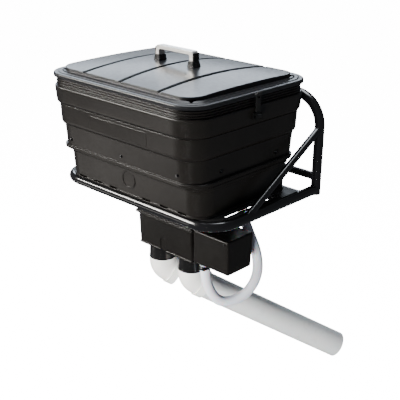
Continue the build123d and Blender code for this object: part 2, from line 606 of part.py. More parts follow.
# 5 ---------------------------------------------------------------- feed boxes
with BuildPart() as feed_box_upper:
    for z0, a0, b0, z1, a1, b1, r in (
        (BOX_SPLIT, 127.0, 59.5, 10.0, 136.0, 71.0, 6),
        (BOX_SPLIT, 133.0, 65.0, BOX_SPLIT + 3.0, 133.0, 65.0, 7),
        (BOX_SPLIT + 3.0, 133.0, 65.0, BOX_SPLIT + 4.5, 131.5, 63.5, 6),
        (10.0, 138.0, 90.0, BOX_TOP, 138.0, 90.0, 3),
    ):
        with BuildSketch(Plane((0, YC, ZB + z0))):
            RectangleRounded(2 * a0, 2 * b0, r)
        with BuildSketch(Plane((0, YC, ZB + z1))):
            RectangleRounded(2 * a1, 2 * b1, r)
        loft()
    with BuildSketch(Plane((0, YC, ZB + BOX_SPLIT))):
        RectangleRounded(246, 111, 5)
    with BuildSketch(Plane((0, YC, ZB + 10.0))):
        RectangleRounded(264, 134, 5)
    loft(mode=Mode.SUBTRACT)
    with BuildSketch(Plane((0, YC, ZB + 10.0))):
        RectangleRounded(264, 134, 5)
    extrude(amount=BOX_TOP - 10.0, mode=Mode.SUBTRACT)
    with Locations(*[(x, YC + y, ZB + 12.9) for x in (-126, -42, 42, 126) for y in (-80.5, 80.5)]):
        Cylinder(radius=4.05, height=10, mode=Mode.SUBTRACT)
feed_box_upper.part.label = "feed_box_upper"

with BuildPart() as feed_box_lower:
    for z0, a0, b0, z1, a1, b1, r in (
        (BOX_BOTTOM, 122.5, 52.0, BOX_SPLIT, 122.5, 59.5, 6),
        (BOX_BOTTOM, 124.3, 54.3, BOX_BOTTOM + 4.0, 124.3, 54.3, 6),
        (BOX_SPLIT - 4.5, 131.5, 63.5, BOX_SPLIT - 3.0, 133.0, 65.0, 6),
        (BOX_SPLIT - 3.0, 133.0, 65.0, BOX_SPLIT, 133.0, 65.0, 7),
    ):
        with BuildSketch(Plane((0, YC, ZB + z0))):
            RectangleRounded(2 * a0, 2 * b0, r)
        with BuildSketch(Plane((0, YC, ZB + z1))):
            RectangleRounded(2 * a1, 2 * b1, r)
        loft()
    with BuildSketch(Plane((0, YC, ZB + BOX_BOTTOM + 4))):
        RectangleRounded(237, 96, 5)
    with BuildSketch(Plane((0, YC, ZB + BOX_SPLIT))):
        RectangleRounded(237, 111, 5)
    loft(mode=Mode.SUBTRACT)
    # arched recess low on the front wall
    with BuildSketch(Plane(origin=(-10, YC - 51.4, ZB - 200.0), x_dir=(1, 0, 0), z_dir=(0, -1, -0.065))):
        with Locations((0, -9)):
            Rectangle(25, 40)
        with Locations((0, 11)):
            Circle(12.5)
    extrude(amount=6, mode=Mode.SUBTRACT)
    # two outlet holes and the two shaft bearing seats
    with Locations((-SPOUT_X, YC, ZB + BOX_BOTTOM), (SPOUT_X, YC, ZB + BOX_BOTTOM)):
        Cylinder(radius=34.0, height=20, mode=Mode.SUBTRACT)
    with Locations((0, YC, ZB + SHAFT_Z)):
        Cylinder(radius=13.0, height=260, rotation=(0, 90, 0), mode=Mode.SUBTRACT)
feed_box_lower.part.label = "feed_box_lower"

with BuildPart() as feed_box_bolts:
    for x in (-126, -42, 42, 126):
        for y in (-80.5, 80.5):
            with BuildSketch(Plane((x, YC + y, ZB + DECK_Z + DECK_T))):
                RegularPolygon(7.2, 6)
            extrude(amount=3.6)
            with BuildSketch(Plane((x, YC + y, ZB + DECK_Z + DECK_T))):
                Circle(4.0)
            extrude(amount=-14)
            with BuildSketch(Plane((x, YC + y, ZB + 10.0))):
                RegularPolygon(7.2, 6)
            extrude(amount=-6.5)
feed_box_bolts.part.label = "feed_box_bolts"

# metering drive
with BuildPart() as bearing_left:
    with BuildSketch(Plane(origin=(-122.5, YC, ZB + SHAFT_Z), z_dir=(1, 0, 0))):
        Circle(13.0)
        Circle(SHAFT_R + 0.05, mode=Mode.SUBTRACT)
    extrude(amount=10)
    with BuildSketch(Plane(origin=(-122.5, YC, ZB + SHAFT_Z), z_dir=(-1, 0, 0))):
        Circle(17.0)
        Circle(SHAFT_R + 0.05, mode=Mode.SUBTRACT)
    extrude(amount=3)
bearing_left.part.label = "bearing_left"

with BuildPart() as bearing_right:
    with BuildSketch(Plane(origin=(122.5, YC, ZB + SHAFT_Z), z_dir=(-1, 0, 0))):
        Circle(13.0)
        Circle(SHAFT_R + 0.05, mode=Mode.SUBTRACT)
    extrude(amount=10)
bearing_right.part.label = "bearing_right"

with BuildPart() as metering_shaft:
    with BuildSketch(Plane(origin=(-127.0, YC, ZB + SHAFT_Z), z_dir=(1, 0, 0))):
        Circle(SHAFT_R)
    extrude(amount=285)
    chamfer(metering_shaft.edges().filter_by(GeomType.CIRCLE), 0.8)
metering_shaft.part.label = "metering_shaft"

ROTOR_R = 42.0
with BuildPart() as rotor_left:
    with BuildSketch(Plane(origin=(-SPOUT_X - 32, YC, ZB + SHAFT_Z), z_dir=(1, 0, 0))):
        Circle(15)
        with PolarLocations(28, 6):
            Rectangle(28, 4)
        Circle(SHAFT_R, mode=Mode.SUBTRACT)
    extrude(amount=64)
rotor_left.part.label = "rotor_left"

with BuildPart() as rotor_right:
    with BuildSketch(Plane(origin=(SPOUT_X - 32, YC, ZB + SHAFT_Z), z_dir=(1, 0, 0))):
        Circle(15)
        with PolarLocations(28, 6, start_angle=30):
            Rectangle(28, 4)
        Circle(SHAFT_R, mode=Mode.SUBTRACT)
    extrude(amount=64)
rotor_right.part.label = "rotor_right"

# drop spouts: flange, collar and a short spigot
with BuildPart() as spout_right:
    with BuildSketch(Plane((SPOUT_X, YC, ZB + BOX_BOTTOM))):
        Circle(49)
    extrude(amount=-5)
    with BuildSketch(Plane((SPOUT_X, YC, ZB + BOX_BOTTOM - 5))):
        Circle(43.2)
    with BuildSketch(Plane((SPOUT_X, YC, ZB + RIM_SPOUT + 4))):
        Circle(44.6)
    loft()
    with BuildSketch(Plane((SPOUT_X, YC, ZB + RIM_SPOUT + 4))):
        Circle(45.4)
    extrude(amount=-4)
    with BuildSketch(Plane((SPOUT_X, YC, ZB + RIM_SPOUT))):
        Circle(PIPE_BORE - 0.06)
    extrude(amount=-12.5)
    with Locations((SPOUT_X, YC, ZB - 250)):
        Cylinder(radius=34.0, height=100, mode=Mode.SUBTRACT)
spout_right.part.label = "spout_right"

with BuildPart() as spout_left:
    with BuildSketch(Plane((-SPOUT_X, YC, ZB + BOX_BOTTOM))):
        Circle(49)
    extrude(amount=-5)
    with BuildSketch(Plane((-SPOUT_X, YC, ZB + BOX_BOTTOM - 5))):
        Circle(43.2)
    with BuildSketch(Plane((-SPOUT_X, YC, ZB + RIM_SPOUT + 4))):
        Circle(44.6)
    loft()
    with BuildSketch(Plane((-SPOUT_X, YC, ZB + RIM_SPOUT + 4))):
        Circle(45.4)
    extrude(amount=-4)
    with BuildSketch(Plane((-SPOUT_X, YC, ZB + RIM_SPOUT))):
        Circle(PIPE_BORE - 0.06)
    extrude(amount=-12.5)
    with Locations((-SPOUT_X, YC, ZB - 250)):
        Cylinder(radius=34.0, height=100, mode=Mode.SUBTRACT)
spout_left.part.label = "spout_left"

# elbows: straight rim, 60 degree bend, outlet socket
ux, uy = math.cos(AZ), math.sin(AZ)
dx, dy, dz = ux * math.cos(DOWN), uy * math.cos(DOWN), -math.sin(DOWN)
turn = math.radians(90.0) - DOWN
bend_h = ELBOW_R * (1 - math.cos(turn))
bend_v = ELBOW_R * math.sin(turn)
half_h = ELBOW_R * (1 - math.cos(turn / 2))
half_v = ELBOW_R * math.sin(turn / 2)
OUTLET = 24.0
SOCKET_OD = 48.6
SOCKET_ID = 44.55
elbow_parts = []
for piece_x, piece_name in ((SPOUT_X, "elbow_right"), (-SPOUT_X, "elbow_left")):
    start = Vector(piece_x, YC, ZB + RIM_SPOUT - 0.3)
    top = Vector(piece_x, YC, ZB + BEND_START)
    mid = Vector(piece_x + ux * half_h, YC + uy * half_h, ZB + BEND_START - half_v)
    end = Vector(piece_x + ux * bend_h, YC + uy * bend_h, ZB + BEND_START - bend_v)
    with BuildPart() as elbow:
        with BuildLine() as elbow_path:
            Line(start, top)
            ThreePointArc(top, mid, end)
        with BuildSketch(Plane(origin=start, z_dir=(0, 0, -1))):
            Circle(PIPE_R)
            Circle(PIPE_BORE, mode=Mode.SUBTRACT)
        sweep(path=elbow_path.wires()[0])
        with BuildSketch(Plane(origin=end, z_dir=(dx, dy, dz))):
            Circle(PIPE_R)
            Circle(PIPE_BORE, mode=Mode.SUBTRACT)
        extrude(amount=4)
        with BuildSketch(Plane(origin=end, z_dir=(dx, dy, dz)).offset(4)):
            Circle(SOCKET_OD)
            Circle(SOCKET_ID, mode=Mode.SUBTRACT)
        extrude(amount=OUTLET)
        with BuildSketch(Plane(origin=end, z_dir=(dx, dy, dz)).offset(1.5)):
            Circle(SOCKET_OD)
            Circle(PIPE_BORE, mode=Mode.SUBTRACT)
        extrude(amount=2.5)
    elbow.part.label = piece_name
    elbow_parts.append(elbow.part)
    print(piece_name, "bend end", [round(v, 2) for v in end])

tube_start = Vector(
    SPOUT_X + ux * bend_h + dx * 4.2, YC + uy * bend_h + dy * 4.2, ZB + BEND_START - bend_v + dz * 4.2
)
with BuildPart() as discharge_tube:
    with BuildSketch(Plane(origin=tube_start, z_dir=(dx, dy, dz))):
        Circle(PIPE_R)
        Circle(PIPE_BORE, mode=Mode.SUBTRACT)
    extrude(amount=TUBE_LEN)
    chamfer(discharge_tube.edges().filter_by(GeomType.CIRCLE), 1.2)
discharge_tube.part.label = "discharge_tube"
print("tube start", [round(v, 2) for v in tube_start], "direction", round(dx, 5), round(dy, 5), round(dz, 5))
print("tube end", [round(v, 2) for v in (tube_start + Vector(dx, dy, dz) * TUBE_LEN)])

# 6 ---------------------------------------------------------------- motor
with BuildPart() as motor_spacer:
    with BuildSketch(Plane(origin=(122.5, YC, ZB), x_dir=(0, 1, 0), z_dir=(1, 0, 0))):
        with Locations((-5, -160)):
            RectangleRounded(78, 88, 5)
        with Locations((0, SHAFT_Z)):
            Circle(12.0, mode=Mode.SUBTRACT)
    extrude(amount=9.5)
motor_spacer.part.label = "motor_spacer"

with BuildPart() as motor_base_plate:
    with BuildSketch(Plane(origin=(132.0, YC, ZB), x_dir=(0, 1, 0), z_dir=(1, 0, 0))):
        with Locations((1.0, -165)):
            RectangleRounded(112, 101, 7)
        with Locations((0, SHAFT_Z)):
            Circle(12.0, mode=Mode.SUBTRACT)
    extrude(amount=3)
motor_base_plate.part.label = "motor_base_plate"

with BuildPart() as motor_cover:
    for z0, y0, y1, z1, y2, y3, m in (
        (-215.8, -55.8, 54.0, -100.4, -59.5, 62.0, Mode.ADD),
        (-211.8, -51.8, 50.2, -104.4, -55.2, 57.6, Mode.SUBTRACT),
    ):
        x0, x1 = (135.0, 279.0) if m == Mode.ADD else (134.0, 275.0)
        with BuildSketch(Plane(((x0 + x1) / 2, YC + (y0 + y1) / 2, ZB + z0))):
            Rectangle(x1 - x0, y1 - y0)
        with BuildSketch(Plane(((x0 + x1) / 2, YC + (y2 + y3) / 2, ZB + z1))):
            Rectangle(x1 - x0, y3 - y2)
        loft(mode=m)
    fillet(
        motor_cover.edges().filter_by(Axis.X).filter_by_position(Axis.X, 206.5, 207.5)
        + motor_cover.edges().filter_by_position(Axis.X, 278.9, 279.1),
        6.0,
    )
    # hose spigot hole underneath and cable gland hole at the back
    with Locations((HOSE_LOW_X, YC + HOSE_LOW_Y, ZB - 214)):
        Cylinder(radius=12.0, height=16, mode=Mode.SUBTRACT)
    with Locations((170, YC + 58, ZB - 130)):
        Cylinder(radius=8.0, height=24, rotation=(90, 0, 0), mode=Mode.SUBTRACT)
motor_cover.part.label = "motor_cover"

with BuildPart() as gearmotor:
    with BuildSketch(Plane(origin=(135.0, YC, ZB + SHAFT_Z), x_dir=(0, 1, 0), z_dir=(1, 0, 0))):
        RectangleRounded(66, 70, 8)
    extrude(amount=48)
    with BuildSketch(Plane(origin=(183.0, YC, ZB + SHAFT_Z), x_dir=(0, 1, 0), z_dir=(1, 0, 0))):
        Circle(27)
    extrude(amount=64)
    with BuildSketch(Plane(origin=(135.0, YC, ZB + SHAFT_Z), x_dir=(0, 1, 0), z_dir=(1, 0, 0))):
        Circle(SHAFT_R + 0.06)
    extrude(amount=28, mode=Mode.SUBTRACT)
    with BuildSketch(Plane(origin=(247.0, YC, ZB + SHAFT_Z), x_dir=(0, 1, 0), z_dir=(1, 0, 0))):
        Circle(4.05)
    extrude(amount=-20, mode=Mode.SUBTRACT)
gearmotor.part.label = "gearmotor"

with BuildPart() as cooling_fan:
    with BuildSketch(Plane(origin=(228.0, YC, ZB + SHAFT_Z), x_dir=(0, 1, 0), z_dir=(1, 0, 0))):
        Circle(4.0)
    extrude(amount=36)
    with BuildSketch(Plane(origin=(250.0, YC, ZB + SHAFT_Z), x_dir=(0, 1, 0), z_dir=(1, 0, 0))):
        Circle(9)
        with PolarLocations(18, 7):
            Rectangle(26, 3)
    extrude(amount=14)
cooling_fan.part.label = "cooling_fan"

with BuildPart() as cover_screws:
    for y in (-48, 50):
        with BuildSketch(Plane((142.0, YC + y, ZB - 100.4))):
            Circle(4.0)
        extrude(amount=2.4)
    with BuildSketch(Plane(origin=(262.0, YC - 59.25, ZB - 112.3), z_dir=(0, -1, 0))):
        Circle(3.6)
    extrude(amount=1.8)
cover_screws.part.label = "cover_screws"

with BuildPart() as cable_gland:
    with BuildSketch(Plane(origin=(170, YC + 60.9, ZB - 130), z_dir=(0, 1, 0))):
        RegularPolygon(11.5, 6)
    extrude(amount=7.1)
    with BuildSketch(Plane(origin=(170, YC + 68.0, ZB - 130), z_dir=(0, 1, 0))):
        Circle(9)
    extrude(amount=9)
    with BuildSketch(Plane(origin=(170, YC + 61.5, ZB - 130), z_dir=(0, 1, 0))):
        Circle(7.95)
    extrude(amount=-8.5)
    with Locations((170, YC + 68, ZB - 130)):
        Cylinder(radius=4.5, height=60, rotation=(90, 0, 0), mode=Mode.SUBTRACT)
cable_gland.part.label = "cable_gland"

# 7 ---------------------------------------------------------------- air hose
with BuildPart() as hose_fitting_upper:
    with BuildSketch(Plane((HOSE_TOP_X, YC + HOSE_TOP_Y, ZB + DECK_Z))):
        Circle(24)
    extrude(amount=-6.075)
    with BuildSketch(Plane((HOSE_TOP_X, YC + HOSE_TOP_Y, ZB + DECK_Z + DECK_T))):
        Circle(13.0)
    extrude(amount=-DECK_T - 3)
    with Locations((HOSE_TOP_X, YC + HOSE_TOP_Y, ZB)):
        Cylinder(radius=9.5, height=80, mode=Mode.SUBTRACT)
hose_fitting_upper.part.label = "hose_fitting_upper"

with BuildPart() as hose_fitting_lower:
    with BuildSketch(Plane((HOSE_LOW_X, YC + HOSE_LOW_Y, ZB - 215.8))):
        Circle(19.5)
    extrude(amount=-3)
    with BuildSketch(Plane((HOSE_LOW_X, YC + HOSE_LOW_Y, ZB - 209.0))):
        Circle(12.0)
    extrude(amount=-8)
    with Locations((HOSE_LOW_X, YC + HOSE_LOW_Y, ZB - 215.8)):
        Cylinder(radius=9.5, height=80, mode=Mode.SUBTRACT)
hose_fitting_lower.part.label = "hose_fitting_lower"

# route of the air hose, from the deck fitting down, round and up to the cover
HOSE_ROUTE = [
    (195.0, 95.0, 9.8),
    (195.0, 95.0, -62.0),
    (218.5, 114.1, -139.1),
    (245.2, 125.3, -206.9),
    (260.8, 115.0, -273.1),
    (253.2, 81.2, -326.1),
    (231.2, 37.0, -352.3),
    (204.1, -7.9, -351.6),
    (176.6, -29.1, -310.4),
    (160.0, -32.0, -257.2),
    (160.0, -32.0, -218.8),
]
route = [Vector(x, YC + y, ZB + z) for x, y, z in HOSE_ROUTE]
hose_radii = []
for a, b, c in zip(route, route[1:], route[2:]):
    half_turn = math.radians((b - a).get_angle(c - b)) / 2
    hose_radii.append(0.45 * min((b - a).length, (c - b).length) / math.tan(half_turn))
print("hose radii", [round(r, 1) for r in hose_radii])

with BuildPart() as air_hose:
    with BuildLine() as hose_path:
        FilletPolyline(*route, radius=hose_radii)
    with BuildSketch(Plane(origin=route[0], z_dir=(route[1] - route[0]))):
        Circle(HOSE_R)
    sweep(path=hose_path.wires()[0])
air_hose.part.label = "air_hose"
hose_len = hose_path.wires()[0].length
print("hose length", round(hose_len, 1), "volume ratio", round(air_hose.part.volume / (math.pi * HOSE_R**2 * hose_len), 4))

# band clamps close to the two ends of the hose
with BuildPart() as hose_clamp_upper:
    with BuildSketch(Plane(origin=route[0] + (route[1] - route[0]).normalized() * 8, z_dir=(route[1] - route[0]))):
        Circle(HOSE_R + 1.6)
        Circle(HOSE_R, mode=Mode.SUBTRACT)
    extrude(amount=10)
hose_clamp_upper.part.label = "hose_clamp_upper"

with BuildPart() as hose_clamp_lower:
    with BuildSketch(Plane(origin=route[-1] + Vector(0, 0, -5), z_dir=(0, 0, -1))):
        Circle(HOSE_R + 1.6)
        Circle(HOSE_R, mode=Mode.SUBTRACT)
    extrude(amount=10)
hose_clamp_lower.part.label = "hose_clamp_lower"

# 8 ---------------------------------------------------------------- files
os.makedirs("parts", exist_ok=True)
export_step(base_loop_tube.part, "parts/base_loop_tube.step")
export_step(rear_hoop_tube.part, "parts/rear_hoop_tube.step")
export_step(side_brace_right.part, "parts/side_brace_right.step")
export_step(side_brace_left.part, "parts/side_brace_left.step")
export_step(hoop_tie_bar.part, "parts/hoop_tie_bar.step")
export_step(rear_cross_member.part, "parts/rear_cross_member.step")
export_step(mid_cross_member.part, "parts/mid_cross_member.step")
export_step(deck_plate.part, "parts/deck_plate.step")
export_step(hitch_drawbar.part, "parts/hitch_drawbar.step")
export_step(drawbar_gusset_right.part, "parts/drawbar_gusset_right.step")
export_step(drawbar_gusset_left.part, "parts/drawbar_gusset_left.step")
export_step(upper_hopper_shell.part, "parts/upper_hopper_shell.step")
export_step(lower_hopper_tub.part, "parts/lower_hopper_tub.step")
export_step(hopper_funnel.part, "parts/hopper_funnel.step")
export_step(flow_deflector.part, "parts/flow_deflector.step")
export_step(hopper_screws.part, "parts/hopper_screws.step")
export_step(tub_foot_bolts.part, "parts/tub_foot_bolts.step")
export_step(lid_shell.part, "parts/lid_shell.step")
export_step(lid_seal.part, "parts/lid_seal.step")
export_step(lid_stiffener.part, "parts/lid_stiffener.step")
export_step(lid_handle_feet.part, "parts/lid_handle_feet.step")
export_step(lid_handle_strap.part, "parts/lid_handle_strap.step")
export_step(lid_handle_screws.part, "parts/lid_handle_screws.step")
export_step(latch_anchor_right.part, "parts/latch_anchor_right.step")
export_step(latch_anchor_left.part, "parts/latch_anchor_left.step")
export_step(latch_pin_right.part, "parts/latch_pin_right.step")
export_step(latch_pin_left.part, "parts/latch_pin_left.step")
export_step(latch_strap_right.part, "parts/latch_strap_right.step")
export_step(latch_strap_left.part, "parts/latch_strap_left.step")
export_step(lid_keepers.part, "parts/lid_keepers.step")
export_step(feed_box_upper.part, "parts/feed_box_upper.step")
export_step(feed_box_lower.part, "parts/feed_box_lower.step")
export_step(feed_box_bolts.part, "parts/feed_box_bolts.step")
export_step(bearing_left.part, "parts/bearing_left.step")
export_step(bearing_right.part, "parts/bearing_right.step")
export_step(metering_shaft.part, "parts/metering_shaft.step")
export_step(rotor_left.part, "parts/rotor_left.step")
export_step(rotor_right.part, "parts/rotor_right.step")
export_step(spout_right.part, "parts/spout_right.step")
export_step(spout_left.part, "parts/spout_left.step")
export_step(discharge_tube.part, "parts/discharge_tube.step")
export_step(motor_spacer.part, "parts/motor_spacer.step")
export_step(motor_base_plate.part, "parts/motor_base_plate.step")
export_step(motor_cover.part, "parts/motor_cover.step")
export_step(gearmotor.part, "parts/gearmotor.step")
export_step(cooling_fan.part, "parts/cooling_fan.step")
export_step(cover_screws.part, "parts/cover_screws.step")
export_step(cable_gland.part, "parts/cable_gland.step")
export_step(hose_fitting_upper.part, "parts/hose_fitting_upper.step")
export_step(hose_fitting_lower.part, "parts/hose_fitting_lower.step")
export_step(air_hose.part, "parts/air_hose.step")
export_step(hose_clamp_upper.part, "parts/hose_clamp_upper.step")
export_step(hose_clamp_lower.part, "parts/hose_clamp_lower.step")
export_step(elbow_parts[0], "parts/elbow_right.step")
export_step(elbow_parts[1], "parts/elbow_left.step")
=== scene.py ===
import json
import math

import bmesh
import bpy
from mathutils import Matrix, Vector


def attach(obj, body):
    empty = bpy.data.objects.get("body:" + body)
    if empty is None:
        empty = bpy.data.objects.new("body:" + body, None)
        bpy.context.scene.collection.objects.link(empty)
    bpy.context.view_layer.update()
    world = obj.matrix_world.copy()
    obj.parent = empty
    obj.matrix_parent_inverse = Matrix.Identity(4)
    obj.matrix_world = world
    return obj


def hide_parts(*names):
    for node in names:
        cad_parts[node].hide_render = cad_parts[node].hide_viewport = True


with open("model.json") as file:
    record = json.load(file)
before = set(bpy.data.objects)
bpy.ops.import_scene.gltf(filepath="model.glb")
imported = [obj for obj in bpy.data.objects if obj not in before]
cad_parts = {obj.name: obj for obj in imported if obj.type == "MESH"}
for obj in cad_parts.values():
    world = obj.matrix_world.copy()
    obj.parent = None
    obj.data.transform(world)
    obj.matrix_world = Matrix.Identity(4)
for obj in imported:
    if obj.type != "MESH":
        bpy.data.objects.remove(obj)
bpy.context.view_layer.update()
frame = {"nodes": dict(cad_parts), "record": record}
nodes = frame["nodes"]

# the hopper's own centre and base-tube plane in the row frame, metres
YC, ZB = -0.460, 0.041275


def H(x, y, z):
    """A point given in millimetres from the hopper centre, in the row frame in metres."""
    return Vector((x / 1000.0, YC + y / 1000.0, ZB + z / 1000.0))


# ------------------------------------------------------------------ camera
CAM_POS = Vector((1.74698, -0.46 - 1.74441, 0.93288 + ZB))
YAW, PITCH, ROLL = 0.75534, 0.38029, 0.01169
F_PX = 812.0


def camera():
    fwd = -Vector((math.sin(YAW) * math.cos(PITCH), -math.cos(YAW) * math.cos(PITCH), math.sin(PITCH)))
    right = fwd.cross(Vector((0, 0, 1))).normalized()
    up = right.cross(fwd)
    c, s = math.cos(ROLL), math.sin(ROLL)
    r2, u2 = right * c + up * s, -right * s + up * c
    m = Matrix((
        (r2.x, u2.x, -fwd.x, CAM_POS.x),
        (r2.y, u2.y, -fwd.y, CAM_POS.y),
        (r2.z, u2.z, -fwd.z, CAM_POS.z),
        (0, 0, 0, 1),
    ))
    data = bpy.data.cameras.new("camera")
    data.sensor_width = 36.0
    data.lens = F_PX / 400.0 * 36.0
    data.clip_end = 200.0
    cam = bpy.data.objects.new("camera", data)
    cam.matrix_world = m
    bpy.context.scene.collection.objects.link(cam)
    bpy.context.scene.camera = cam


camera()

# ------------------------------------------------------------------ materials


class Mat:
    """A small helper that strings shader nodes together."""

    def __init__(self, name):
        self.m = bpy.data.materials.new(name)
        self.m.use_nodes = True
        self.t = self.m.node_tree
        self.b = self.t.nodes["Principled BSDF"]
        self.co = self.t.nodes.new("ShaderNodeTexCoord").outputs["Object"]

    def n(self, kind, **k):
        node = self.t.nodes.new(kind)
        for a, v in k.items():
            setattr(node, a, v)
        return node

    def link(self, a, b):
        self.t.links.new(a, b)

    def mapped(self, scale=(1, 1, 1), rot=(0, 0, 0)):
        mp = self.n("ShaderNodeMapping")
        mp.inputs["Scale"].default_value = scale
        mp.inputs["Rotation"].default_value = rot
        self.link(self.co, mp.inputs["Vector"])
        return mp.outputs["Vector"]

    def noise(self, scale, detail=4.0, rough=0.55, vec=None, distortion=0.0):
        nz = self.n("ShaderNodeTexNoise")
        nz.inputs["Scale"].default_value = scale
        nz.inputs["Detail"].default_value = detail
        nz.inputs["Roughness"].default_value = rough
        nz.inputs["Distortion"].default_value = distortion
        self.link(vec if vec is not None else self.co, nz.inputs["Vector"])
        return nz.outputs["Fac"]

    def ramp(self, fac, stops):
        r = self.n("ShaderNodeValToRGB")
        e = r.color_ramp.elements
        e[0].position, e[0].color = stops[0][0], (*stops[0][1], 1)
        e[1].position, e[1].color = stops[-1][0], (*stops[-1][1], 1)
        for p, c in stops[1:-1]:
            x = e.new(p)
            x.color = (*c, 1)
        self.link(fac, r.inputs["Fac"])
        return r.outputs["Color"]

    def rng(self, fac, lo, hi, a=0.3, b=0.7):
        r = self.n("ShaderNodeMapRange")
        r.inputs["From Min"].default_value = a
        r.inputs["From Max"].default_value = b
        r.inputs["To Min"].default_value = lo
        r.inputs["To Max"].default_value = hi
        self.link(fac, r.inputs["Value"])
        return r.outputs["Result"]

    def mixc(self, fac, a, b, mode="MIX"):
        x = self.n("ShaderNodeMix", data_type="RGBA", blend_type=mode)
        for sock, v in ((x.inputs[0], fac), (x.inputs[6], a), (x.inputs[7], b)):
            if hasattr(v, "links"):
                self.link(v, sock)
            elif isinstance(v, (int, float)):
                sock.default_value = v
            else:
                sock.default_value = (*v, 1)
        return x.outputs[2]

    def math(self, op, a, b=0.0):
        x = self.n("ShaderNodeMath", operation=op)
        for i, v in enumerate((a, b)):
            if hasattr(v, "links"):
                self.link(v, x.inputs[i])
            else:
                x.inputs[i].default_value = v
        return x.outputs[0]

    def bevelled(self, radius):
        """Shading normal eased over the sharp edges."""
        bv = self.n("ShaderNodeBevel", samples=6)
        bv.inputs["Radius"].default_value = radius
        return bv.outputs["Normal"]

    def bumps(self, layers, normal=None):
        """layers: (height socket, strength, distance) from coarse to fine."""
        out = normal
        for h, strength, dist in layers:
            bp = self.n("ShaderNodeBump")
            bp.inputs["Strength"].default_value = strength
            bp.inputs["Distance"].default_value = dist
            self.link(h, bp.inputs["Height"])
            if out is not None:
                self.link(out, bp.inputs["Normal"])
            out = bp.outputs["Normal"]
        self.link(out, self.b.inputs["Normal"])


def plastic(name, dark, light, rough=(0.34, 0.48), grain=1400.0, spec=0.5, edge=0.0012, dust=0.0, bevel=True):
    m = Mat(name)
    big = m.noise(6.0, 3.0)
    fine = m.noise(90.0, 5.0, 0.6)
    c = m.ramp(m.math("ADD", m.math("MULTIPLY", big, 0.7), m.math("MULTIPLY", fine, 0.3)), [(0.35, dark), (0.65, light)])
    if dust:
        d = m.noise(22.0, 8.0, 0.7)
        c = m.mixc(m.rng(d, 0.0, dust, 0.52, 0.8), c, (0.32, 0.31, 0.29))
    m.link(c, m.b.inputs["Base Color"])
    m.link(m.rng(fine, rough[0], rough[1]), m.b.inputs["Roughness"])
    m.b.inputs["Specular IOR Level"].default_value = spec
    vor = m.n("ShaderNodeTexVoronoi")
    vor.inputs["Scale"].default_value = grain
    m.link(m.co, vor.inputs["Vector"])
    m.bumps(
        [(big, 0.06, 0.002), (vor.outputs["Distance"], 0.05, 0.0001), (m.noise(grain * 0.6, 2.0), 0.04, 0.0001)],
        m.bevelled(edge) if bevel else None,
    )
    return m.m


def paint(name, base, rough=(0.16, 0.28), coat=0.35, chips=0.05):
    m = Mat(name)
    big = m.noise(9.0, 4.0)
    c = m.ramp(big, [(0.3, tuple(v * 0.8 for v in base)), (0.7, tuple(v * 1.25 for v in base))])
    c = m.mixc(m.rng(m.noise(70.0, 8.0, 0.75), 0.0, chips, 0.60, 0.72), c, (0.19, 0.185, 0.18))
    m.link(c, m.b.inputs["Base Color"])
    m.link(m.rng(m.noise(40.0, 4.0), rough[0], rough[1]), m.b.inputs["Roughness"])
    m.b.inputs["Coat Weight"].default_value = coat
    m.b.inputs["Coat Roughness"].default_value = 0.1
    m.bumps([(m.noise(260.0, 3.0, 0.5), 0.05, 0.0006), (m.noise(900.0, 2.0), 0.02, 0.0002)])
    return m.m


def metal(name, base, rough=(0.25, 0.4), stretch=(1, 1, 1), scratch=0.1, metallic=1.0):
    m = Mat(name)
    v = m.mapped(stretch)
    br = m.noise(220.0, 6.0, 0.6, v)
    big = m.noise(12.0, 4.0)
    c = m.ramp(
        m.math("ADD", m.math("MULTIPLY", br, 0.6), m.math("MULTIPLY", big, 0.4)),
        [(0.3, tuple(x * 0.82 for x in base)), (0.7, tuple(min(1, x * 1.12) for x in base))],
    )
    m.link(c, m.b.inputs["Base Color"])
    m.b.inputs["Metallic"].default_value = metallic
    m.link(m.rng(br, rough[0], rough[1]), m.b.inputs["Roughness"])
    m.bumps([(br, scratch, 0.0002)], m.bevelled(0.0006))
    return m.m


def pvc(name, cold, warm, rough=(0.24, 0.38), sss=0.08, marks=0.12, axis_rot=(0, 0, 0)):
    m = Mat(name)
    big = m.noise(7.0, 5.0)
    c = m.ramp(big, [(0.32, cold), (0.68, warm)])
    sc = m.noise(60.0, 8.0, 0.75, m.mapped((1, 1, 6), axis_rot))
    c = m.mixc(m.rng(sc, 0.0, marks, 0.58, 0.72), c, tuple(v * 0.72 for v in cold))
    m.link(c, m.b.inputs["Base Color"])
    m.link(m.rng(m.noise(35.0, 5.0), rough[0], rough[1]), m.b.inputs["Roughness"])
    m.b.inputs["Subsurface Weight"].default_value = sss
    m.b.inputs["Subsurface Scale"].default_value = 0.01
    m.bumps([(m.noise(18.0, 3.0), 0.04, 0.002), (sc, 0.04, 0.0003)])
    return m.m


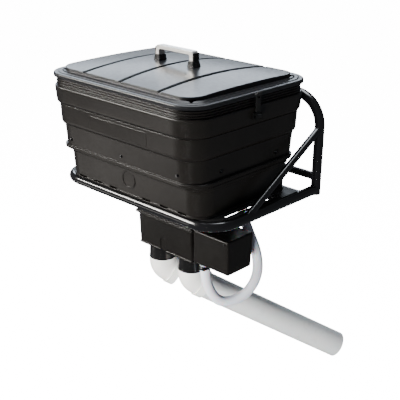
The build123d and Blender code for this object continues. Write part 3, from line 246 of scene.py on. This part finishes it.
MATS = {
    "frame_black": paint("frame_powder_coat", (0.004, 0.004, 0.0045), (0.14, 0.24), 0.5, 0.02),
    "deck_black": paint("deck_powder_coat", (0.004, 0.004, 0.0043), (0.5, 0.62), 0.0, 0.02),
    "hopper_plastic": plastic("hopper_poly", (0.0052, 0.0046, 0.0040), (0.0078, 0.0070, 0.0062), (0.30, 0.38), spec=0.42, edge=0.0014, dust=0.006),
    # lid: the same black polyethylene as the hopper; its lighter, bluish base colour is a painted sky sheen on the
    # top
    "lid_plastic": plastic("lid_poly_painted_sheen", (0.0062, 0.0066, 0.0075), (0.009, 0.0096, 0.0108), (0.29, 0.37), edge=0.003, dust=0.008),
    "seal_rubber": plastic("rubber_black", (0.006, 0.006, 0.006), (0.011, 0.011, 0.011), (0.5, 0.65), 900.0, bevel=False),
    "handle_metal": metal("handle_alloy", (0.80, 0.79, 0.75), (0.30, 0.44), (1, 12, 12)),
    "handle_feet": plastic("handle_foot", (0.006, 0.006, 0.006), (0.010, 0.010, 0.010), (0.22, 0.32)),
    "steel_hardware": metal("zinc_steel", (0.07, 0.07, 0.073), (0.3, 0.45)),
    "stainless_sheet": metal("stainless_sheet", (0.50, 0.50, 0.50), (0.25, 0.4), (1, 20, 1)),
    "latch_bracket": paint("latch_bracket_paint", (0.004, 0.004, 0.004), (0.35, 0.5), 0.0),
    "box_plastic": plastic("box_poly", (0.0035, 0.0031, 0.0027), (0.0058, 0.0052, 0.0046), (0.28, 0.38), 1100.0, spec=0.4, edge=0.003, dust=0.006),
    "spout_gloss": plastic("spout_poly", (0.004, 0.004, 0.004), (0.007, 0.007, 0.007), (0.12, 0.22), 1800.0),
    "rotor_plastic": plastic("rotor_poly", (0.20, 0.09, 0.03), (0.28, 0.13, 0.05), (0.4, 0.55)),
    "motor_alloy": metal("motor_cast", (0.42, 0.42, 0.44), (0.4, 0.6), (1, 1, 1), 0.25),
    "pipe_white": pvc("elbow_pvc", (0.88, 0.865, 0.83), (0.93, 0.915, 0.885), marks=0.04),
    # tube: the same white PVC as the elbows; its base colour is darkened and tinted grey-blue as painted shade
    "tube_white": pvc("tube_pvc_painted_shade", (0.62, 0.645, 0.65), (0.70, 0.715, 0.72), marks=0.08, axis_rot=(0, math.radians(-60), math.radians(-53))),
    "hose_clear": pvc("hose_pvc", (0.66, 0.68, 0.76), (0.74, 0.76, 0.83), (0.3, 0.42), 0.25, 0.06),
}
for sp in frame["record"]["subparts"]:
    o = nodes[sp["node"]]
    mat = MATS[sp["material_slot"]]
    if not o.material_slots:
        o.data.materials.append(mat)
    for sl in o.material_slots:
        sl.material = mat

# ------------------------------------------------------------------ hose
HOSE_ROUTE = [
    (195.0, 95.0, 9.8),
    (195.0, 95.0, -62.0),
    (218.5, 114.1, -139.1),
    (245.2, 125.3, -206.9),
    (260.8, 115.0, -273.1),
    (253.2, 81.2, -326.1),
    (231.2, 37.0, -352.3),
    (204.1, -7.9, -351.6),
    (176.6, -29.1, -310.4),
    (160.0, -32.0, -257.2),
    (160.0, -32.0, -218.8),
]


def hose():
    cu = bpy.data.curves.new("air_hose_soft", "CURVE")
    cu.dimensions = "3D"
    sp = cu.splines.new("NURBS")
    sp.points.add(len(HOSE_ROUTE) - 1)
    for p, q in zip(sp.points, HOSE_ROUTE):
        p.co = (*H(*q), 1.0)
    sp.order_u = 3
    sp.use_endpoint_u = True
    sp.resolution_u = 14
    cu.bevel_depth = 0.01675
    cu.bevel_resolution = 10
    cu.use_fill_caps = True
    o = bpy.data.objects.new("air_hose_soft", cu)
    bpy.context.scene.collection.objects.link(o)
    cu.materials.append(MATS["hose_clear"])
    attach(o, "spreader_frame")
    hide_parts("air_hose")
    return o


the_hose = hose()


# ------------------------------------------------------------------ small details
def link_mesh(name, bm, slot, body):
    me = bpy.data.meshes.new(name)
    bmesh.ops.recalc_face_normals(bm, faces=bm.faces)
    bm.to_mesh(me)
    bm.free()
    for f in me.polygons:
        f.use_smooth = True
    me.materials.append(MATS[slot])
    o = bpy.data.objects.new(name, me)
    bpy.context.scene.collection.objects.link(o)
    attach(o, body)
    return o


def bead(bm, pts, r, closed, normals=None, pitch=0.0034):
    """A rippled weld bead swept along points (metres)."""
    n = len(pts)
    sides = 8
    rings = []
    run = 0.0
    for i, p in enumerate(pts):
        a = pts[(i - 1) % n] if closed or i else pts[0]
        b = pts[(i + 1) % n] if closed or i < n - 1 else pts[-1]
        t = (b - a).normalized()
        ref = Vector((0.31, 0.52, 0.79))
        if abs(t.dot(ref)) > 0.9:
            ref = Vector((0.9, -0.3, 0.1))
        u = t.cross(ref).normalized()
        v = t.cross(u)
        run += (p - a).length if i else 0.0
        rr = r * (0.86 + 0.14 * abs(math.sin(math.pi * run / pitch)))
        if not closed and i in (0, n - 1):
            rr *= 0.45
        rings.append([bm.verts.new(p + (u * math.cos(k * math.tau / sides) + v * math.sin(k * math.tau / sides)) * rr) for k in range(sides)])
    last = n if closed else n - 1
    for i in range(last):
        a, b = rings[i], rings[(i + 1) % n]
        # match the ring that follows, its frame may have turned
        off = min(range(sides), key=lambda k: (a[0].co - b[k].co).length)
        for k in range(sides):
            bm.faces.new((a[k], a[(k + 1) % sides], b[(k + 1 + off) % sides], b[(k + off) % sides]))
    if not closed:
        bm.faces.new(rings[0])
        bm.faces.new(list(reversed(rings[-1])))


def saddle(centre, along, main, rb, rm, n=72):
    """Where a branch tube meets the skin of a main tube, both in metres."""
    a, m = Vector(along).normalized(), Vector(main).normalized()
    e1 = a.cross(m).normalized()
    e2 = a.cross(e1)
    out = []
    for i in range(n):
        th = (i + 0.5) * math.tau / n
        q = (e1 * math.cos(th) + e2 * math.sin(th)) * rb
        qp, ap = q - m * q.dot(m), a - m * a.dot(m)
        k = qp.dot(ap)
        t = (-k + math.sqrt(max(0.0, k * k - ap.length_squared * (qp.length_squared - rm * rm)))) / ap.length_squared
        out.append(Vector(centre) + q + a * t)
    return out


T_R, TIE_RR, BR_R = 0.015875, 0.0127, 0.0115
bm = bmesh.new()
for s in (-1, 1):
    for y in (142.0, 204.6):
        bead(bm, saddle(H(s * 343.2, y, 0), (-s, 0, 0), (0, 1, 0), T_R, T_R), 0.0021, True)
    bead(bm, saddle(H(s * 343.2, 288.0, 41.9), (-s, 0, 0), (0, 0, 1), TIE_RR, T_R), 0.0021, True)
    bead(bm, saddle(H(s * 343.2, 288.0, 0), (0, -1, 0), (0, 0, 1), T_R, T_R), 0.0021, True)
    bead(bm, saddle(H(s * 343.2, -54.8, 0), (0, 342.8, 203), (0, 1, 0), BR_R, T_R), 0.0019, True)
    bead(bm, saddle(H(s * 343.2, 288.0, 203), (0, -342.8, -203), (0, 0, 1), BR_R, T_R), 0.0019, True)
    # gusset plates to the cross tubes and to the square tube
    for y in (142.0, 204.6):
        arc = [H(s * 31.9, y + 15.9 * math.cos(q), 15.9 * math.sin(q)) for q in [math.radians(184 + 172 * i / 40) for i in range(41)]]
        bead(bm, arc, 0.0019, False)
    bead(bm, [H(s * 26.6, 126 + 170 * i / 60, -64.3) for i in range(61)], 0.0019, False)
link_mesh("weld_beads", bm, "frame_black", "spreader_frame")


def lathe(bm, centre, axis, profile, seg=40, hexed=False):
    """Turn (radius, height) pairs in metres about an axis through centre."""
    ax = Vector(axis).normalized()
    ref = Vector((1, 0, 0)) if abs(ax.x) < 0.9 else Vector((0, 1, 0))
    u = ax.cross(ref).normalized()
    v = ax.cross(u)
    rings = []
    for r, h in profile:
        ring = []
        for k in range(seg):
            th = k * math.tau / seg
            rr = r
            if hexed:
                rr = r * math.cos(math.pi / 6) / math.cos((th % (math.pi / 3)) - math.pi / 6)
            ring.append(bm.verts.new(centre + ax * h + (u * math.cos(th) + v * math.sin(th)) * rr))
        rings.append(ring)
    for a, b in zip(rings, rings[1:]):
        for k in range(seg):
            bm.faces.new((a[k], a[(k + 1) % seg], b[(k + 1) % seg], b[k]))
    bm.faces.new(list(reversed(rings[0])))
    bm.faces.new(rings[-1])


# washers under the heads of the feed box bolts, and domed tops on the heads
bm = bmesh.new()
for x in (-126, -42, 42, 126):
    for y in (-80.5, 80.5):
        lathe(bm, H(x, y, 18.9), (0, 0, 1), [(0.0096, 0.0), (0.0098, 0.0004), (0.0096, 0.0012), (0.0088, 0.0014)])
        lathe(bm, H(x, y, 22.4), (0, 0, 1), [(0.0060, 0.0), (0.0052, 0.0009), (0.0030, 0.0015), (0.0010, 0.0017)])
link_mesh("deck_washers", bm, "steel_hardware", "spreader_frame")

# worm-drive housings on the two hose clamps
bm = bmesh.new()
for centre, out in ((H(195.0, 95.0, -3.2), Vector((0.55, -0.835, 0))), (H(160.0, -32.0, -228.8), Vector((0.35, -0.937, 0)))):
    side = Vector((0, 0, 1)).cross(out).normalized()
    base = centre + out * 0.0196
    for dx, hw, hh, dd in ((0.0, 0.0085, 0.0058, 0.0026), (0.0, 0.0070, 0.0046, 0.0044)):
        quad = []
        for d in (-dd, dd):
            quad.append([bm.verts.new(base + side * (dx + a * hw) + Vector((0, 0, b * hh)) + out * d) for a, b in ((-1, -1), (1, -1), (1, 1), (-1, 1))])
        for k in range(4):
            bm.faces.new((quad[0][k], quad[0][(k + 1) % 4], quad[1][(k + 1) % 4], quad[1][k]))
        bm.faces.new(list(reversed(quad[0])))
        bm.faces.new(quad[1])
    lathe(bm, base + side * 0.0082, side, [(0.0034, 0.0), (0.0036, 0.0005), (0.0036, 0.0038), (0.0028, 0.0046)], 36, True)
    lathe(bm, base + side * 0.0126, side, [(0.0016, 0.0), (0.0014, 0.0008)], 16)
link_mesh("clamp_housings", bm, "steel_hardware", "spreader_frame")

# cross recesses of the hopper screws, cut as raised shadow marks
bm = bmesh.new()
for x in (-237, 0, 237):
    for sy in (-1, 1):
        lathe(bm, H(x, -238.3 if sy < 0 else 242.8, 152.5), (0, sy, 0), [(0.0034, 0.0), (0.0030, 0.0006), (0.0016, 0.0010), (0.0012, 0.0002)], 28)
for y in (-124, 124):
    for sx in (-1, 1):
        lathe(bm, H(sx * 305.5, y, 152.5), (sx, 0, 0), [(0.0034, 0.0), (0.0030, 0.0006), (0.0016, 0.0010), (0.0012, 0.0002)], 28)
link_mesh("hopper_screw_socket_shadows", bm, "steel_hardware", "spreader_frame")

# ------------------------------------------------------------------ floor and light
def floor():
    me = bpy.data.meshes.new("floor")
    bm = bmesh.new()
    bmesh.ops.create_grid(bm, x_segments=2, y_segments=2, size=60.0)
    bmesh.ops.translate(bm, vec=(0, 0, -1.15), verts=bm.verts)
    bm.to_mesh(me)
    bm.free()
    o = bpy.data.objects.new("floor", me)
    bpy.context.scene.collection.objects.link(o)
    m = bpy.data.materials.new("floor_pale")
    m.use_nodes = True
    b = m.node_tree.nodes["Principled BSDF"]
    b.inputs["Base Color"].default_value = (0.9, 0.9, 0.9, 1)
    b.inputs["Roughness"].default_value = 0.9
    b.inputs["Emission Color"].default_value = (1, 1, 1, 1)
    b.inputs["Emission Strength"].default_value = 15.0
    me.materials.append(m)
    o.visible_diffuse = False
    o.visible_glossy = False


floor()


def area(name, loc, target, size, power, color=(1, 1, 1), size_y=None, glossy=True):
    d = bpy.data.lights.new(name, "AREA")
    d.energy = power
    d.color = color
    d.size = size
    if size_y:
        d.shape = "RECTANGLE"
        d.size_y = size_y
    o = bpy.data.objects.new(name, d)
    o.location = loc
    o.rotation_euler = (Vector(target) - Vector(loc)).to_track_quat("-Z", "Y").to_euler()
    bpy.context.scene.collection.objects.link(o)
    o.visible_camera = False
    o.visible_glossy = glossy
    return o


w = bpy.data.worlds.new("studio")
bpy.context.scene.world = w
w.use_nodes = True
bg = w.node_tree.nodes["Background"]
bg.inputs["Color"].default_value = (0.85, 0.9, 1.0, 1)
bg.inputs["Strength"].default_value = 0.10

C = (0.0, YC, 0.1)
area("key_front_left", (-1.9, -3.0, 1.75), C, 1.6, 185, (1.0, 0.95, 0.89))
area("low_front_left", (-1.9, -2.5, -1.05), (0.0, -0.7, 0.2), 1.4, 4, (1.0, 0.95, 0.9), size_y=0.35)
area("low_front_right", (1.3, -2.9, -0.9), (0.1, -0.45, -0.4), 0.9, 210, (1.0, 0.99, 0.97), glossy=False)
area("edge_strip", (-1.75, -3.1, 1.35), (0.0, -0.7, 0.25), 2.6, 130, (1.0, 0.97, 0.93), size_y=0.12)
area("sky_top", (-0.4, -0.2, 3.0), C, 2.2, 130, (0.9, 0.95, 1.0))
area("sheen_back_left", (-3.0, 2.1, 1.9), (0.0, YC, 0.42), 3.0, 70, (0.80, 0.89, 1.0), size_y=0.7)
